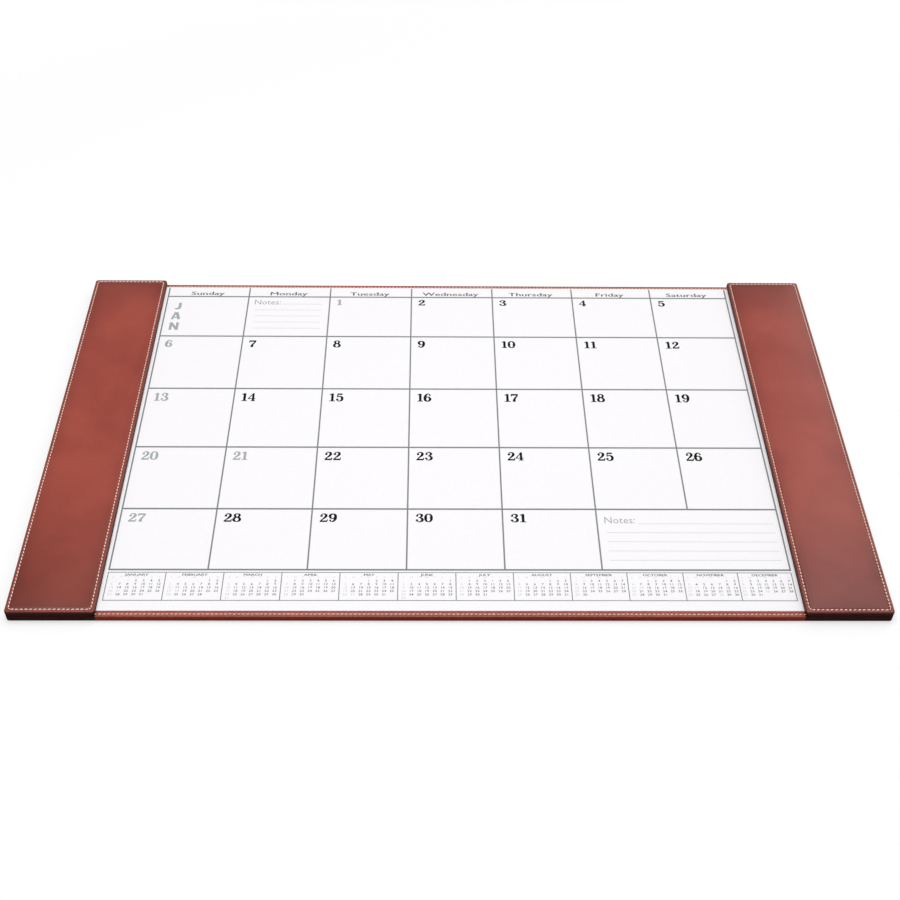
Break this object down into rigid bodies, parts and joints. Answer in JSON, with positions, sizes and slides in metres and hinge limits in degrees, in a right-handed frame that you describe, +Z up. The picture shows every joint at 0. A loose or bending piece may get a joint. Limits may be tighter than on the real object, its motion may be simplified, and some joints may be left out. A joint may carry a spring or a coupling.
{
  "type": "desk pad calendar",
  "caption": "Stiff leather desk mat with two padded, stitched side rails that hold a pad of printed month calendar sheets flat on a desk.",
  "frame": {"origin": "middle of the underside, on the desk", "axes": "+X to the user's right along the mat's length, +Y away from the user, +Z up"},
  "size_m": [0.864, 0.508, 0.0152],
  "materials": {
    "leather": "reddish brown top grain leather, fine pebble, soft sheen",
    "thread": "cream waxed sewing thread",
    "felt": "matt black felt",
    "fibreboard": "dense grey brown board",
    "padding": "thin soft foam",
    "card": "grey card",
    "paper": "smooth white writing paper",
    "print_ink": "grey print on paper"
  },
  "bodies": {
    "root": {"felt_backing": "felt", "base_board": "fibreboard", "base_cover": "leather", "front_edge_thread": "thread", "rear_edge_thread": "thread", "left_rail_outer_spacer": "fibreboard", "left_rail_front_spacer": "fibreboard", "left_rail_rear_spacer": "fibreboard", "left_rail_lining": "felt", "left_rail_board": "fibreboard", "left_rail_padding": "padding", "left_rail_cover": "leather", "left_rail_thread": "thread", "right_rail_outer_spacer": "fibreboard", "right_rail_front_spacer": "fibreboard", "right_rail_rear_spacer": "fibreboard", "right_rail_lining": "felt", "right_rail_board": "fibreboard", "right_rail_padding": "padding", "right_rail_cover": "leather", "right_rail_thread": "thread", "calendar_card": "card", "calendar_sheets": "paper", "month_grid_print": "print_ink", "year_strip_print": "print_ink"}
  },
  "joints": []
}
